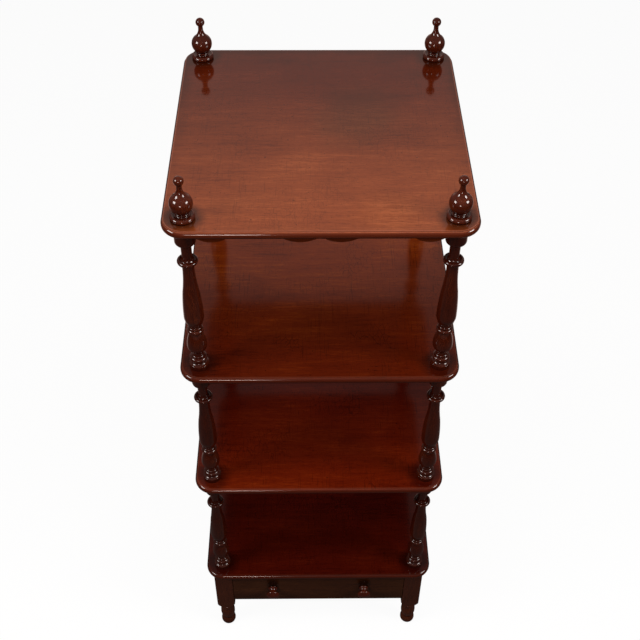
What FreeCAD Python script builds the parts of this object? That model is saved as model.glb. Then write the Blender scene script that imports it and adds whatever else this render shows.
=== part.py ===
"""A four-tier mahogany etagere with turned columns, finials and one drawer.

Millimetres, +Z up. The origin is on the floor under the middle of the stand, and the front looks along -Y.
"""
import FreeCAD, Part
import os
import re

import Sketcher

SIZES = {
    # boards and bays
    "shelf_width": 480.0,
    "shelf_depth": 506.0,
    "board_thickness": 15.0,
    "corner_radius": 36.0,
    "side_inset": 33.7,
    "front_inset": 34.0,
    "back_inset": 27.7,
    "base_height": 244.2,
    "lower_bay": 316.6,
    "middle_bay": 324.3,
    "upper_bay": 326.1,
    # moulded edge of a board
    "edge_step": 1.0,
    "edge_step_inset": 3.2,
    "nosing_radius": 6.0,
    "under_radius": 6.0,
    # dowelled joints between the turned pieces
    "spigot_radius": 7.0,
    "spigot_depth": 12.0,
    "spigot_chamfer": 1.0,
    "joint_gap": 0.15,
    "end_gap": 0.6,
    # foot of a column
    "column_disc_radius": 16.8,
    "column_disc_height": 9.4,
    "column_disc_round": 0.8,
    "stem_radius": 10.9,
    "ring_bottom": 16.0,
    "ring_height": 9.4,
    "ring_radius": 15.0,
    "fillet_bead_height": 4.0,
    "fillet_bead_radius": 10.6,
    "fillet_top_radius": 9.6,
    "waist_radius": 8.6,
    # egg and beads
    "neck_edge_radius": 9.4,
    "egg_bottom": 39.0,
    "egg_widest": 51.5,
    "egg_radius": 17.0,
    "bead_bottom": 83.0,
    "bead_height": 9.4,
    "bead_radius": 14.2,
    "small_bead_height": 4.2,
    "small_bead_radius": 11.6,
    # vase-shaped shaft
    "vase_bottom": 102.0,
    "vase_shoulder": 109.0,
    "vase_shoulder_radius": 14.4,
    "vase_shoulder_rise": 1.4,
    "vase_widest": 120.0,
    "vase_radius": 16.6,
    "vase_taper": 175.0,
    "vase_taper_radius": 13.7,
    "shaft_radius": 9.6,
    "shaft_hollow": 1.4,
    # collar and cap, measured down from the column's top
    "collar_drop": 74.0,
    "collar_height": 7.6,
    "collar_rim": 12.9,
    "collar_radius": 16.6,
    "collar_dish_radius": 10.6,
    "collar_dish_depth": 0.9,
    "flare_height": 5.0,
    "neck_radius": 8.4,
    "neck_bead_height": 3.2,
    "neck_bead_radius": 9.8,
    "cap_height": 27.5,
    "cap_round": 6.6,
    "cap_radius": 16.8,
    # finial
    "disc_radius": 19.2,
    "disc_height": 8.4,
    "disc_rim": 16.2,
    "disc_lean": 1.6,
    "dish_radius": 13.4,
    "dish_depth": 0.7,
    "dish_sag": 0.2,
    "finial_stem_radius": 9.6,
    "finial_ring_bottom": 9.4,
    "finial_ring_height": 3.6,
    "finial_ring_radius": 11.4,
    "ball_widest": 28.5,
    "ball_radius": 18.0,
    "ball_top": 40.5,
    "ball_top_radius": 13.4,
    "finial_neck_height": 58.0,
    "finial_neck_radius": 4.2,
    "tip_radius": 7.9,
    "tip_drop": 14.6,
    "finial_height": 77.5,
    # leg
    "leg_width": 38.0,
    "leg_arris": 1.2,
    "square_bottom": 84.0,
    "square_shoulder": 105.0,
    "shoulder_radius": 15.6,
    "ankle_neck_height": 5.0,
    "foot_flat_radius": 10.0,
    "foot_radius": 15.9,
    "foot_widest": 11.0,
    "foot_groove": 25.5,
    "foot_groove_radius": 12.4,
    "calf_widest": 45.0,
    "calf_radius": 15.8,
    "calf_top": 63.0,
    "calf_top_radius": 13.6,
    "ankle_ring_height": 8.0,
    "ankle_ring_radius": 16.2,
    # rails around the drawer
    "rail_height": 111.2,
    "rail_thickness": 14.0,
    "rail_setback": 2.0,
    "rail_tenon_length": 13.0,
    "rail_tenon_thickness": 7.0,
    "rail_tenon_shoulder": 18.0,
    "front_rail_height": 7.5,
    "front_rail_width": 30.0,
    "front_rail_setback": 2.5,
    "front_tenon_length": 12.0,
    "front_tenon_width": 18.0,
    "front_tenon_height": 5.0,
    # runners, guides and stops
    "runner_width": 13.0,
    "guide_height": 12.0,
    "guide_gap": 0.4,
    "stop_width": 34.0,
    "stop_depth": 14.0,
    "stop_height": 4.0,
    "stop_spacing": 220.0,
    # drawer
    "drawer_gap": 0.8,
    "running_gap": 0.3,
    "drawer_back_room": 28.0,
    "drawer_front_thickness": 16.0,
    "drawer_front_round": 1.0,
    "drawer_side_thickness": 9.0,
    "drawer_back_thickness": 9.0,
    "drawer_back_drop": 8.0,
    "drawer_bottom_thickness": 6.0,
    "groove_height": 8.0,
    "groove_depth": 4.0,
    "front_tail_length": 11.0,
    "tail_width": 16.0,
    "tail_flare": 2.4,
    # knobs
    "knob_spacing": 199.0,
    "knob_drop": 7.5,
    "knob_spigot_radius": 5.0,
    "knob_collar_radius": 10.4,
    "knob_collar_height": 3.6,
    "knob_collar_round": 1.4,
    "knob_stem_radius": 6.2,
    "knob_stem_height": 10.5,
    "knob_radius": 13.8,
    "knob_widest": 16.5,
    "knob_rim_radius": 12.4,
    "knob_rim_height": 14.5,
    "knob_length": 22.0,
    "knob_face_radius": 10.0,
    "knob_face_rise": 1.8,
    # scalloped aprons under the top
    "apron_thickness": 12.0,
    "apron_lobe_depth": 28.0,
    "apron_cusp_depth": 17.0,
    "apron_arch_depth": 12.0,
    "apron_end_depth": 20.0,
    "apron_arch_rise": 3.0,
    "centre_lobe_width": 68.0,
    "end_lobe_width": 54.0,
    "apron_tenon_length": 6.0,
    "apron_tenon_thickness": 5.0,
    "apron_tenon_height": 16.0,
    # wood screws
    "screw_radius": 1.8,
    "screw_head_radius": 3.6,
    "screw_head_height": 2.2,
    "screw_length": 15.0,
    "screw_slot_width": 0.8,
    "screw_slot_depth": 0.9,
    "screw_row": 260.0,
    "bottom_screw_spacing": 120.0,
}

QUARTER_RISE = "(1 - 1 / sqrt(2))"
CORNERS = {"front_left": (-1, -1), "front_right": (1, -1), "back_left": (-1, 1), "back_right": (1, 1)}
TAILS = 3
RUNNER_SCREWS = 3
BOTTOM_SCREWS = 3

# How far a cut runs past a face, and a turned foot into its post.
OVERRUN = "1"
AXIS_X = "(shelf_width / 2 - side_inset)"
AXIS_Y = "((shelf_depth - front_inset - back_inset) / 2)"
BOARD_SHIFT = "((back_inset - front_inset) / 2)"
BOARD_BOTTOM = "(base_height - board_thickness)"
SHELVES = {
    "base_shelf": "base_height",
    "lower_shelf": "(base_height + lower_bay)",
    "upper_shelf": "(base_height + lower_bay + middle_bay)",
    "top_shelf": "(base_height + lower_bay + middle_bay + upper_bay)",
}
TIERS = {
    "lower_column": ("base_height", "lower_bay"),
    "middle_column": (SHELVES["lower_shelf"], "middle_bay"),
    "upper_column": (SHELVES["upper_shelf"], "upper_bay"),
}
SOCKET_RADIUS = "(spigot_radius + joint_gap)"
SOCKET_DEPTH = "(spigot_depth + end_gap)"
OPENING_HALF = f"({AXIS_X} - leg_width / 2)"
LEG_FACE_X = f"({AXIS_X} + leg_width / 2)"
LEG_FACE_Y = f"({AXIS_Y} + leg_width / 2)"
LEG_INNER_Y = f"({AXIS_Y} - leg_width / 2)"
SIDE_RAIL_INNER = f"({LEG_FACE_X} - rail_setback - rail_thickness)"
BACK_RAIL_INNER = f"({LEG_FACE_Y} - rail_setback - rail_thickness)"
RAIL_BOTTOM = f"({BOARD_BOTTOM} - rail_height)"
RUNNER_TOP = f"({RAIL_BOTTOM} + front_rail_height)"
FRONT_RAIL_BACK = f"(front_rail_setback + front_rail_width - {LEG_FACE_Y})"
RAIL_SHIFT = "(leg_width / 2 - rail_setback - rail_thickness / 2)"
FRONT_RAIL_SHIFT = "(front_rail_setback + front_rail_width / 2 - leg_width / 2)"
DRAWER_PLACE = ("0", f"-{LEG_FACE_Y}", f"{RUNNER_TOP} + running_gap")
DRAWER_HALF = f"({OPENING_HALF} - drawer_gap)"
DRAWER_DEPTH = f"({LEG_FACE_Y} + {BACK_RAIL_INNER} - drawer_back_room)"
DRAWER_TOP = "(rail_height - front_rail_height - running_gap - drawer_gap)"
DRAWER_FRONT_FOOT = "(drawer_gap - running_gap)"
BACK_FOOT = "(groove_height + joint_gap + drawer_bottom_thickness)"
BACK_TOP = f"({DRAWER_TOP} - drawer_back_drop)"
KNOB_LEVEL = f"(({DRAWER_TOP} + {DRAWER_FRONT_FOOT}) / 2 - knob_drop)"
BACK_FACE = f"({DRAWER_DEPTH} - drawer_back_thickness)"
SCREW_HOLE = "(screw_radius + joint_gap)"
TOP_UNDERSIDE = f"({SHELVES['top_shelf']} - board_thickness)"

doc = FreeCAD.newDocument("etagere")
sheet = doc.addObject("Spreadsheet::Sheet", "Sizes")
for row, (alias, size) in enumerate(SIZES.items(), start=1):
    sheet.set(f"A{row}", alias)
    sheet.set(f"B{row}", str(size))
    sheet.setAlias(f"B{row}", alias)
doc.recompute()

pieces = []


def formula(text):
    """The text as an expression in which each size names its cell in the sheet."""
    return re.sub(r"[a-z]\w*", lambda word: f"Sizes.{word[0]}" if word[0] in SIZES else word[0], text)


def value(text):
    """What a formula comes to, in millimetres."""
    return float(sheet.evalExpression(formula(text)))


def new_body(label, place=("0", "0", "0"), rotation=None):
    """Starts a piece whose own origin lies at place, turned about it by rotation (an axis and degrees)."""
    body = doc.addObject("PartDesign::Body", label)
    body.Label = label
    if rotation:
        axis, angle = rotation
        body.Placement = FreeCAD.Placement(FreeCAD.Vector(), FreeCAD.Rotation(FreeCAD.Vector(*axis), angle))
    move(body, place)
    pieces.append(body)
    return body


def mirrored(source, label, normal=(1, 0, 0)):
    """The same piece on the other side of the stand."""
    copy = doc.addObject("Part::Mirroring", label)
    copy.Label = label
    copy.Source = source
    copy.Normal = FreeCAD.Vector(*normal)
    pieces.append(copy)


def move(thing, place):
    """Drives a thing's position by three formulas."""
    for axis, text in zip("xyz", place):
        thing.setExpression(f"Placement.Base.{axis}", formula(text))


def block(body, kind, name, low, high):
    """Adds a box between two corners (kind Additive), or cuts it away (kind Subtractive)."""
    box = body.newObject(f"PartDesign::{kind}Box", name)
    for side, start, end in zip(("Length", "Width", "Height"), low, high):
        box.setExpression(side, formula(f"({end}) - ({start})"))
    move(box, low)
    return box


def hole(body, name, place, radius, length, axis=(0, 0, 1)):
    """Cuts a round hole."""
    rod(body, "Subtractive", name, place, radius, length, axis)


def rod(body, kind, name, place, radius, length, axis=(0, 0, 1)):
    """Adds or cuts a cylinder that starts at place and runs along axis."""
    cylinder = body.newObject(f"PartDesign::{kind}Cylinder", name)
    cylinder.setExpression("Radius", formula(radius))
    cylinder.setExpression("Height", formula(length))
    cylinder.Placement = FreeCAD.Placement(
        FreeCAD.Vector(), FreeCAD.Rotation(FreeCAD.Vector(0, 0, 1), FreeCAD.Vector(*axis))
    )
    move(cylinder, place)


def cone(body, kind, name, place, radii, height):
    """Adds or cuts an upright cone from its lower radius to its upper one."""
    taper = body.newObject(f"PartDesign::{kind}Cone", name)
    taper.setExpression("Radius1", formula(radii[0]))
    taper.setExpression("Radius2", formula(radii[1]))
    taper.setExpression("Height", formula(height))
    move(taper, place)


def new_sketch(body, name, plane, offset="0"):
    """A sketch on one of the body's own planes, moved along the plane's normal by offset."""
    sketch = body.newObject("Sketcher::SketchObject", name)
    support = next(part for part in body.Origin.OriginFeatures if part.Role == plane)
    sketch.AttachmentSupport = [(support, "")]
    sketch.MapMode = "FlatFace"
    sketch.setExpression("AttachmentOffset.Base.z", formula(offset))
    return sketch


def arc_centre(start, end, shape):
    """Formulas for the centre of the arc between two points.

    shape is ("rise", how far the arc stands off its chord), "swell" or "cove", which is upright at its wider
    or its narrower end, or "dome", which is level where it meets the axis.
    """
    across = f"(({end[0]}) - ({start[0]}))"
    along = f"(({end[1]}) - ({start[1]}))"
    chord_squared = f"(pow({across}; 2) + pow({along}; 2))"
    if shape in ("swell", "cove"):
        reach = f"{chord_squared} / (2 * abs({across}))"
        narrow, wide = sorted((start, end), key=lambda point: value(point[0]))
        if shape == "swell":
            return f"({wide[0]}) - {reach}", wide[1]
        return f"({narrow[0]}) + {reach}", narrow[1]
    if shape == "dome":
        return "0", f"({end[1]}) - {chord_squared} / (2 * {along})"
    lean = f"(sqrt({chord_squared}) * (1 / (8 * ({shape[1]})) - ({shape[1]}) / 2 / {chord_squared}))"
    return (
        f"(({start[0]}) + ({end[0]})) / 2 - {along} * {lean}",
        f"(({start[1]}) + ({end[1]})) / 2 + {across} * {lean}",
    )


def outline(sketch, strokes):
    """Draws a closed loop of lines and arcs.

    Each stroke is (x, y) or (x, y, shape of the arc that arrives there). A swell, a dome or a positive rise
    stands out to the right of the way the loop runs, and a cove or a negative rise to the left.
    """
    points = [FreeCAD.Vector(value(stroke[0]), value(stroke[1])) for stroke in strokes]
    first = sketch.GeometryCount
    curves = []
    ends = []
    constraints = []
    texts = []
    for index, stroke in enumerate(strokes):
        start, end = points[index - 1], points[index]
        if len(stroke) == 2:
            curves.append(Part.LineSegment(start, end))
            ends.append((1, 2))
            continue
        shape = stroke[2]
        outward = shape in ("swell", "dome") or (shape != "cove" and value(shape[1]) > 0)
        centre_texts = arc_centre(strokes[index - 1], stroke, shape)
        centre = FreeCAD.Vector(value(centre_texts[0]), value(centre_texts[1]))
        along = (end - start).normalize()
        right = FreeCAD.Vector(along.y, -along.x)
        middle = centre + right * ((start - centre).Length * (1 if outward else -1))
        curves.append(Part.Arc(start, middle, end) if outward else Part.Arc(end, middle, start))
        ends.append((1, 2) if outward else (2, 1))
        steep = abs(along.y) > abs(along.x)
        kind, side = ("DistanceX", 0) if steep else ("DistanceY", 1)
        constraints.append(Sketcher.Constraint(kind, -1, 1, first + index, 3, centre[side]))
        texts.append(centre_texts[side])
    sketch.addGeometry(curves, False)

    for index, stroke in enumerate(strokes):
        following = (index + 1) % len(strokes)
        here = (first + index, ends[index][1])
        there = (first + following, ends[following][0])
        constraints.append(Sketcher.Constraint("Coincident", *here, *there))
        texts.append(None)
        for kind, distance, text in zip(("DistanceX", "DistanceY"), points[index], stroke):
            constraints.append(Sketcher.Constraint(kind, -1, 1, *here, distance))
            texts.append(text)
    bind(sketch, constraints, texts)


def bind(sketch, constraints, texts):
    """Adds constraints and drives each that has a formula by it."""
    first = sketch.ConstraintCount
    sketch.addConstraint(constraints)
    for index, text in enumerate(texts, start=first):
        if text is not None:
            sketch.setExpression(f"Constraints[{index}]", formula(text))


def revolve(body, name, strokes):
    """Turns a profile of (radius, height) strokes about the body's Z axis."""
    sketch = new_sketch(body, f"{name}_profile", "XZ_Plane")
    outline(sketch, strokes)
    turned = body.newObject("PartDesign::Revolution", name)
    turned.Profile = sketch
    turned.ReferenceAxis = (sketch, ["V_Axis"])
    turned.Angle = 360
    sketch.Visibility = False
    return turned


def pad(body, name, plane, strokes, length, offset="0", both_ways=False):
    """Thickens an outline by length, from offset along the plane's normal or to both sides of it."""
    sketch = new_sketch(body, f"{name}_outline", plane, offset)
    outline(sketch, strokes)
    slab = body.newObject("PartDesign::Pad", name)
    slab.Profile = sketch
    slab.setExpression("Length", formula(length))
    slab.Midplane = both_ways
    sketch.Visibility = False
    return slab


def round_edges(body, name, base, radius, chosen):
    """Fillets the edges of base whose bounding box passes the test chosen."""
    doc.recompute()
    edges = enumerate(base.Shape.Edges, start=1)
    names = [f"Edge{number}" for number, edge in edges if chosen(edge.BoundBox)]
    fillet = body.newObject("PartDesign::Fillet", name)
    fillet.Base = (base, names)
    fillet.setExpression("Radius", formula(radius))
    return fillet


def level(height):
    """A test for edges that lie flat at a height."""
    return lambda box: abs(box.ZMin - height) < 0.01 and abs(box.ZMax - height) < 0.01


def rounded_rectangle(half_width, half_depth, radius):
    """Strokes of a rectangle about the origin with a quarter circle at each corner."""
    corner = ("rise", f"({radius}) * {QUARTER_RISE}")
    strokes = []
    for sign_x, sign_y in ((1, -1), (1, 1), (-1, 1), (-1, -1)):
        side = (f"{sign_x} * ({half_width})", f"{sign_y} * (({half_depth}) - ({radius}))")
        end = (f"{sign_x} * (({half_width}) - ({radius}))", f"{sign_y} * ({half_depth})")
        first, second = (end, side) if sign_x == -sign_y else (side, end)
        strokes.append(first)
        strokes.append((*second, corner))
    return strokes


def shelf(label, top):
    """A board with a stepped, rounded edge and four holes for spigots. Its top face is at z = 0."""
    body = new_body(label, ("0", BOARD_SHIFT, top))
    half = ("shelf_width / 2", "shelf_depth / 2")
    slab = pad(
        body, f"{label}_slab", "XY_Plane", rounded_rectangle(*half, "corner_radius"),
        "board_thickness - edge_step", "-board_thickness",
    )
    doc.recompute()
    nosing = round_edges(body, f"{label}_nosing", slab, "nosing_radius", level(-value("edge_step")))
    round_edges(body, f"{label}_underside", nosing, "under_radius", level(-value("board_thickness")))
    inner = [f"{side} - edge_step_inset" for side in half]
    pad(
        body, f"{label}_face", "XY_Plane", rounded_rectangle(*inner, "corner_radius - edge_step_inset"),
        "board_thickness / 2", "-board_thickness / 2",
    )
    for corner, (sign_x, sign_y) in CORNERS.items():
        place = (f"{sign_x} * {AXIS_X}", f"{sign_y} * {AXIS_Y} - {BOARD_SHIFT}", "-board_thickness")
        hole(body, f"{label}_{corner}_hole", place, SOCKET_RADIUS, "board_thickness")


SPIGOT = [
    ("0", "-(board_thickness + spigot_depth)"),
    ("spigot_radius - spigot_chamfer", "-(board_thickness + spigot_depth)"),
    ("spigot_radius", "spigot_chamfer - (board_thickness + spigot_depth)"),
    ("spigot_radius", "0"),
]
COLUMN_DISC = [
    ("column_disc_radius", "0"),
    ("column_disc_radius", "column_disc_height - column_disc_round"),
    ("column_disc_radius - column_disc_round", "column_disc_height", "swell"),
]
FINIAL_DISC = [
    ("disc_rim + disc_lean", "0"),
    ("disc_rim", "disc_height", ("rise", "disc_radius - disc_rim - disc_lean / 2")),
    ("dish_radius", "disc_height - dish_depth", ("rise", "-dish_sag")),
]


def column(label, corner, bottom, bay):
    """A turned column. Its foot stands on one board at z = 0 and its cap carries the next one."""
    sign_x, sign_y = CORNERS[corner]
    body = new_body(label, (f"{sign_x} * {AXIS_X}", f"{sign_y} * {AXIS_Y}", bottom))
    top = f"({bay} - board_thickness)"
    collar = f"({top} - collar_drop)"
    cap = f"({top} - cap_height)"
    ring_top = "(ring_bottom + ring_height)"
    bead_end = f"({ring_top} + fillet_bead_height)"
    bead_top = "(bead_bottom + bead_height)"
    small_bead_top = f"({bead_top} + small_bead_height)"
    neck_top = f"({cap} - cap_round)"
    revolve(body, f"{label}_turning", SPIGOT + COLUMN_DISC + [
        ("stem_radius", "ring_bottom", "cove"),
        ("stem_radius", ring_top, ("rise", "ring_radius - stem_radius")),
        ("fillet_top_radius", bead_end, ("rise", "fillet_bead_radius - fillet_top_radius")),
        ("waist_radius", f"({bead_end} + egg_bottom) / 2", "cove"),
        ("neck_edge_radius", "egg_bottom", "cove"),
        ("egg_radius", "egg_widest", "swell"),
        ("shaft_radius", "bead_bottom", "swell"),
        ("shaft_radius", bead_top, ("rise", "bead_radius - shaft_radius")),
        ("neck_edge_radius", small_bead_top, ("rise", "small_bead_radius - shaft_radius")),
        ("waist_radius", f"({small_bead_top} + vase_bottom) / 2", "cove"),
        ("neck_edge_radius", "vase_bottom", "cove"),
        ("vase_shoulder_radius", "vase_shoulder", ("rise", "vase_shoulder_rise")),
        ("vase_radius", "vase_widest", "swell"),
        ("vase_taper_radius", "vase_taper", "swell"),
        ("shaft_radius", collar, ("rise", "-shaft_hollow")),
        ("collar_rim", collar),
        ("collar_rim", f"{collar} + collar_height", ("rise", "collar_radius - collar_rim")),
        ("collar_dish_radius", f"{collar} + collar_height - collar_dish_depth"),
        ("neck_radius", f"{collar} + collar_height + flare_height", "cove"),
        ("neck_radius", f"{neck_top} - neck_bead_height"),
        ("neck_radius", neck_top, ("rise", "neck_bead_radius - neck_radius")),
        ("cap_radius - cap_round", neck_top),
        ("cap_radius", cap, "swell"),
        ("cap_radius", top),
        (SOCKET_RADIUS, top),
        (SOCKET_RADIUS, f"{top} - {SOCKET_DEPTH}"),
        ("0", f"{top} - {SOCKET_DEPTH}"),
    ])
    return body


def finial(label, corner):
    """A ball finial with a small ball at its tip. Its spigot goes through the top board."""
    sign_x, sign_y = CORNERS[corner]
    body = new_body(label, (f"{sign_x} * {AXIS_X}", f"{sign_y} * {AXIS_Y}", SHELVES["top_shelf"]))
    ring_top = "(finial_ring_bottom + finial_ring_height)"
    revolve(body, f"{label}_turning", SPIGOT + FINIAL_DISC + [
        ("finial_stem_radius", "finial_ring_bottom", "cove"),
        ("finial_stem_radius", ring_top, ("rise", "finial_ring_radius - finial_stem_radius")),
        ("ball_radius", "ball_widest", "swell"),
        ("ball_top_radius", "ball_top", "swell"),
        ("finial_neck_radius", "finial_neck_height", "cove"),
        ("finial_neck_radius", "finial_height - tip_drop"),
        ("tip_radius", "finial_height - tip_radius", "swell"),
        ("0", "finial_height", "dome"),
    ])
    return body


def slot(body, name, direction, span, width, shift, top, height):
    """Cuts a slot for a tenon in an upright piece about the Z axis.

    The slot runs towards direction, such as (-1, 0), over span: from its blind end to past the face, both
    measured from the axis. It is width wide, lies shift beside the axis, and goes down from top by height.
    """
    inner, outer = span
    along = (inner, outer) if sum(direction) > 0 else (f"-({outer})", f"-({inner})")
    across = (f"{shift} - ({width}) / 2", f"{shift} + ({width}) / 2")
    x_range, y_range = (along, across) if direction[0] else (across, along)
    block(
        body, "Subtractive", name,
        (x_range[0], y_range[0], f"{top} - ({height})"), (x_range[1], y_range[1], top),
    )


def apron_slots(body, corner):
    """Slots for the aprons' tenons in the cap of an upper column."""
    sign_x, sign_y = CORNERS[corner]
    span = ("cap_radius - apron_tenon_length - joint_gap - end_gap", f"cap_radius + {OVERRUN}")
    width = "apron_tenon_thickness + 2 * joint_gap"
    cut = (span, width, "0", "(upper_bay - board_thickness)", "apron_tenon_height + end_gap")
    slot(body, f"{body.Label}_side_slot", (0, -sign_y), *cut)
    if corner.startswith("front"):
        slot(body, f"{body.Label}_front_slot", (-sign_x, 0), *cut)


def leg(label, corner):
    """A square post that ends in a turned foot, with a socket above and slots for the rails beside it."""
    sign_x, sign_y = CORNERS[corner]
    body = new_body(label, (f"{sign_x} * {AXIS_X}", f"{sign_y} * {AXIS_Y}", "0"))
    half = "leg_width / 2"
    ends = ((f"-{half}", f"-{half}", "square_bottom"), (half, half, BOARD_BOTTOM))
    post = block(body, "Additive", f"{label}_post", *ends)
    round_edges(body, f"{label}_arris", post, "leg_arris", lambda box: box.ZLength > 1)
    ring_top = "(square_bottom - ankle_neck_height)"
    revolve(body, f"{label}_foot", [
        ("0", "0"),
        ("foot_flat_radius", "0"),
        ("foot_radius", "foot_widest", "swell"),
        ("foot_groove_radius", "foot_groove", "swell"),
        ("calf_radius", "calf_widest", "swell"),
        ("calf_top_radius", "calf_top", "swell"),
        ("calf_top_radius", f"{ring_top} - ankle_ring_height"),
        ("calf_top_radius", ring_top, ("rise", "ankle_ring_radius - calf_top_radius")),
        ("shoulder_radius", "square_bottom", "cove"),
        ("shoulder_radius", f"square_bottom + {OVERRUN}"),
        ("0", f"square_bottom + {OVERRUN}"),
    ])
    sketch = new_sketch(body, f"{label}_shoulder_profile", "XZ_Plane")
    outline(sketch, [
        ("shoulder_radius", "square_bottom"),
        ("leg_width / sqrt(2)", "square_shoulder", "swell"),
        ("leg_width", "square_shoulder"),
        ("leg_width", "square_bottom"),
    ])
    shoulder = body.newObject("PartDesign::Groove", f"{label}_shoulder")
    shoulder.Profile = sketch
    shoulder.ReferenceAxis = (sketch, ["V_Axis"])
    shoulder.Angle = 360
    sketch.Visibility = False
    hole(body, f"{label}_socket", ("0", "0", f"{BOARD_BOTTOM} - {SOCKET_DEPTH}"), SOCKET_RADIUS, SOCKET_DEPTH)

    span = (f"{half} - rail_tenon_length - end_gap", f"{half} + {OVERRUN}")
    width = "rail_tenon_thickness + 2 * joint_gap"
    height = "rail_height - rail_tenon_shoulder + end_gap"
    side_cut = (span, width, f"{sign_x} * {RAIL_SHIFT}", BOARD_BOTTOM, height)
    slot(body, f"{label}_side_slot", (0, -sign_y), *side_cut)
    if corner.startswith("back"):
        back_cut = (span, width, f"{sign_y} * {RAIL_SHIFT}", BOARD_BOTTOM, height)
        slot(body, f"{label}_back_slot", (-sign_x, 0), *back_cut)
    else:
        slot(
            body, f"{label}_front_slot", (-sign_x, 0),
            (f"{half} - front_tenon_length - end_gap", f"{half} + {OVERRUN}"),
            "front_tenon_width + 2 * joint_gap", FRONT_RAIL_SHIFT,
            f"{RAIL_BOTTOM} + (front_rail_height + front_tenon_height) / 2 + joint_gap",
            "front_tenon_height + 2 * joint_gap",
        )
    return body


def tenoned_rail(label, place, half_length, size, tenon, tenon_heights, along_y=False):
    """A rail with a tenon at each end. size is (width, height); tenon is (length, thickness)."""
    body = new_body(label, place, ((0, 0, 1), 90) if along_y else None)
    width, height = size
    length, thickness = tenon
    low, high = tenon_heights
    block(
        body, "Additive", f"{label}_board",
        (f"-{half_length}", f"-{width} / 2", "0"), (half_length, f"{width} / 2", height),
    )
    reach = f"({half_length} + {length})"
    block(
        body, "Additive", f"{label}_tenons",
        (f"-{reach}", f"-{thickness} / 2", low), (reach, f"{thickness} / 2", high),
    )
    return body


def rails():
    """The rails that join the legs around the drawer."""
    shape = ("rail_thickness", "rail_height")
    tenon = ("rail_tenon_length", "rail_tenon_thickness")
    heights = ("rail_tenon_shoulder", "rail_height")
    left_place = (f"-({AXIS_X} + {RAIL_SHIFT})", "0", RAIL_BOTTOM)
    back_place = ("0", f"{AXIS_Y} + {RAIL_SHIFT}", RAIL_BOTTOM)
    left = tenoned_rail("side_rail_left", left_place, LEG_INNER_Y, shape, tenon, heights, along_y=True)
    mirrored(left, "side_rail_right")
    tenoned_rail("back_rail", back_place, OPENING_HALF, shape, tenon, heights)
    tenoned_rail(
        "front_rail", ("0", f"{FRONT_RAIL_SHIFT} - {AXIS_Y}", RAIL_BOTTOM), OPENING_HALF,
        ("front_rail_width", "front_rail_height"), ("front_tenon_length", "front_tenon_width"),
        ("(front_rail_height - front_tenon_height) / 2", "(front_rail_height + front_tenon_height) / 2"),
    )


GUIDE_WIDTH = f"({SIDE_RAIL_INNER} - {OPENING_HALF})"
SCREW_X = f"({GUIDE_WIDTH} / 2)"
SCREW_ROWS = [f"({row} / {RUNNER_SCREWS - 1} - 0.5) * screw_row" for row in range(RUNNER_SCREWS)]


def screw_hole(body, name, place, length):
    """A hole from below for a screw whose countersunk head is flush at place."""
    hole(body, f"{name}_hole", place, SCREW_HOLE, length)
    cone(
        body, "Subtractive", f"{name}_countersink", place,
        ("screw_head_radius + joint_gap", SCREW_HOLE), "screw_head_height",
    )


def runners():
    """A runner under the drawer and a guide beside it on each side, and two stops behind its front."""
    half_guide = f"({LEG_INNER_Y} - guide_gap)"
    runner = new_body("runner_left", (f"-{OPENING_HALF}", "0", RAIL_BOTTOM))
    block(
        runner, "Additive", "runner_strip",
        ("0", FRONT_RAIL_BACK, "0"), ("runner_width", BACK_RAIL_INNER, "front_rail_height"),
    )
    block(
        runner, "Additive", "runner_wing",
        (f"-{GUIDE_WIDTH}", f"-{half_guide}", "0"), ("0", half_guide, "front_rail_height"),
    )
    guide = new_body("guide_left", (f"-{OPENING_HALF}", "0", RUNNER_TOP))
    block(
        guide, "Additive", "guide_strip",
        (f"-{GUIDE_WIDTH}", f"-{half_guide}", "0"), ("0", half_guide, "guide_height"),
    )
    for number, row in enumerate(SCREW_ROWS):
        screw_hole(runner, f"runner_{number}", (f"-{SCREW_X}", row, "0"), "front_rail_height")
        hole(
            guide, f"guide_{number}_pilot", (f"-{SCREW_X}", row, "0"), SCREW_HOLE,
            "screw_length - front_rail_height + end_gap",
        )
    mirrored(runner, "runner_right")
    mirrored(guide, "guide_right")
    side = f"({OPENING_HALF} + {SCREW_X})"
    places = [(f"{sign} * {side}", row, RAIL_BOTTOM) for sign in (-1, 1) for row in SCREW_ROWS]
    screws("runner_screws", places)

    stops_place = ("0", f"drawer_front_thickness + running_gap - {LEG_FACE_Y}", RUNNER_TOP)
    stops = new_body("drawer_stops", stops_place)
    for name, middle in (("left", "-stop_spacing / 2"), ("right", "stop_spacing / 2")):
        block(
            stops, "Additive", f"stop_{name}",
            (f"{middle} - stop_width / 2", "0", "0"),
            (f"{middle} + stop_width / 2", "stop_depth", "stop_height"),
        )


def screws(label, places):
    """Countersunk wood screws that point up, as separate solids. Each place is the middle of a head."""
    body = new_body(label)
    for number, (x, y, z) in enumerate(places):
        name = f"{label}_{number}"
        cone(
            body, "Additive", f"{name}_head", (x, y, z),
            ("screw_head_radius", "screw_radius"), "screw_head_height",
        )
        rod(
            body, "Additive", f"{name}_shank", (x, y, z),
            "screw_radius", "screw_length - 2 * screw_radius",
        )
        cone(
            body, "Additive", f"{name}_tip", (x, y, f"{z} + screw_length - 2 * screw_radius"),
            ("screw_radius", "screw_radius / 4"), "2 * screw_radius",
        )
        block(
            body, "Subtractive", f"{name}_slot",
            (f"{x} - screw_head_radius", f"{y} - screw_slot_width / 2", z),
            (f"{x} + screw_head_radius", f"{y} + screw_slot_width / 2", f"{z} + screw_slot_depth"),
        )


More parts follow.
